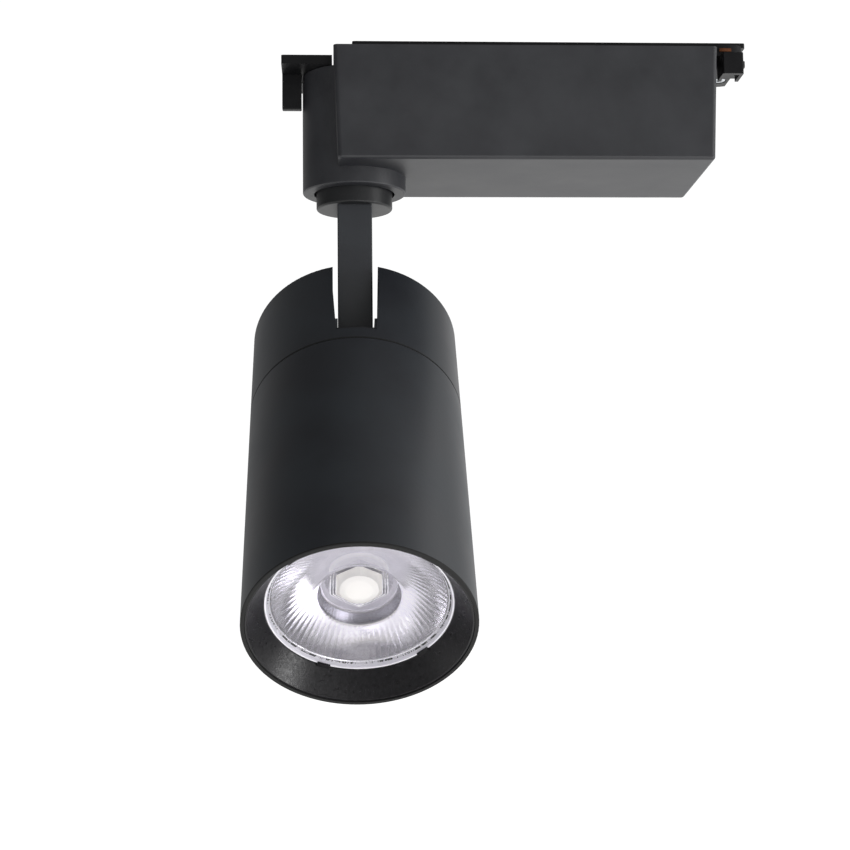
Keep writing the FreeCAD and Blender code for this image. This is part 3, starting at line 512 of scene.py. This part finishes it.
lowest = cadBox[0][2]
floorMesh = bpy.data.meshes.new("studioFloor")
half = studio["floorSize"] / 2
z = lowest - studio["floorDrop"]
floorMesh.from_pydata([(-half, -half, z), (half, -half, z), (half, half, z), (-half, half, z)],
                      [], [(0, 1, 2, 3)])
floor = bpy.data.objects.new("studioFloor", floorMesh)
bpy.context.scene.collection.objects.link(floor)
material, tree = newMaterial("paintedFloor")
shader = addNode(tree, "ShaderNodeBsdfPrincipled", None,
                 {"Base Color": linear(studio["floorColour"]), "Roughness": studio["floorRoughness"],
                  "Emission Color": (1, 1, 1, 1), "Emission Strength": studio["floorGlow"]})
addNode(tree, "ShaderNodeOutputMaterial", None, {"Surface": shader.outputs["BSDF"]})
floorMesh.materials.append(material)

# square softboxes: place and aim in metres, size in metres, power in watts
lamps = {
    "rightSoftbox": dict(place=(1.30, 0.35, 0.85), aim=(0, 0, -0.15), size=1.0, power=3.0),
    "keySoftbox": dict(place=(0.50, -1.15, -0.40), aim=(0, 0, -0.2), size=0.6, power=3.5),
    "sideSoftbox": dict(place=(1.25, -0.50, -0.10), aim=(0, 0, -0.2), size=0.45, power=8.0),
    "backSoftbox": dict(place=(0.9, 1.7, 0.1), aim=(0, 0, -0.1), size=1.0, power=1.6),
}
for name, lamp in lamps.items():
    data = bpy.data.lights.new(name, "AREA")
    data.size = lamp["size"]
    data.energy = lamp["power"]
    softbox = bpy.data.objects.new(name, data)
    bpy.context.scene.collection.objects.link(softbox)
    softbox.location = lamp["place"]
    toAim = Vector(lamp["aim"]) - softbox.location
    softbox.rotation_euler = toAim.to_track_quat("-Z", "Y").to_euler()

world = bpy.data.worlds.new("paleStudio")
bpy.context.scene.world = world
world.use_nodes = True
tree = world.node_tree
tree.nodes.clear()
direction = addNode(tree, "ShaderNodeTexCoord").outputs["Generated"]
parts = addNode(tree, "ShaderNodeSeparateXYZ", None, {"Vector": direction}).outputs
across = addNode(tree, "ShaderNodeMapRange", {"interpolation_type": "SMOOTHSTEP"},
                 {"Value": parts["X"], "From Min": studio["acrossFrom"], "From Max": studio["acrossTo"],
                  "To Min": studio["left"], "To Max": studio["right"]}).outputs["Result"]
nearer = addNode(tree, "ShaderNodeMapRange", {"interpolation_type": "SMOOTHSTEP"},
                 {"Value": parts["Y"], "From Min": studio["nearFrom"], "From Max": studio["nearTo"],
                  "To Min": 0.0, "To Max": 1.0}).outputs["Result"]
farther = addNode(tree, "ShaderNodeMapRange", {"interpolation_type": "SMOOTHSTEP"},
                  {"Value": parts["Y"], "From Min": studio["farFrom"], "From Max": studio["farTo"],
                   "To Min": 0.0, "To Max": 1.0}).outputs["Result"]
sides = addNode(tree, "ShaderNodeMix", {"data_type": "FLOAT"},
                {"Factor": farther, "A": across, "B": studio["back"]}).outputs["Result"]
glowing = addNode(tree, "ShaderNodeMix", {"data_type": "FLOAT"},
                  {"Factor": nearer, "A": sides, "B": studio["front"]}).outputs["Result"]
seen = addNode(tree, "ShaderNodeLightPath").outputs["Is Camera Ray"]
strength = addNode(tree, "ShaderNodeMix", {"data_type": "FLOAT"},
                   {"Factor": seen, "A": glowing, "B": studio["seen"]}).outputs["Result"]
sky = addNode(tree, "ShaderNodeBackground", None, {"Color": (1, 1, 1, 1), "Strength": strength})
addNode(tree, "ShaderNodeOutputWorld", None, {"Surface": sky.outputs["Background"]})

# lens in mm on a frame 36 mm wide, place in metres, angles in radians
shot = dict(lens=74.08, sensor=36.0, place=(-0.007104, -0.634424, -0.202767), yaw=0.051, pitch=0.1093,
            roll=-0.0104)
cameraData = bpy.data.cameras.new("viewCamera")
cameraData.lens = shot["lens"]
cameraData.sensor_width = shot["sensor"]
camera = bpy.data.objects.new("viewCamera", cameraData)
bpy.context.scene.collection.objects.link(camera)
cy, sy, cp, sp = (f(shot[a]) for a in ("yaw", "pitch") for f in (math.cos, math.sin))
forward = Vector((sy * cp, cy * cp, sp))
right = Vector((cy, -sy, 0))
up = right.cross(forward)
cr, sr = math.cos(shot["roll"]), math.sin(shot["roll"])
turned = Matrix((cr * right + sr * up, cr * up - sr * right, -forward)).transposed()
camera.matrix_world = Matrix.Translation(shot["place"]) @ turned.to_4x4()
bpy.context.scene.camera = camera
bpy.context.scene.view_settings.view_transform = "Standard"
print("studio and camera ready")
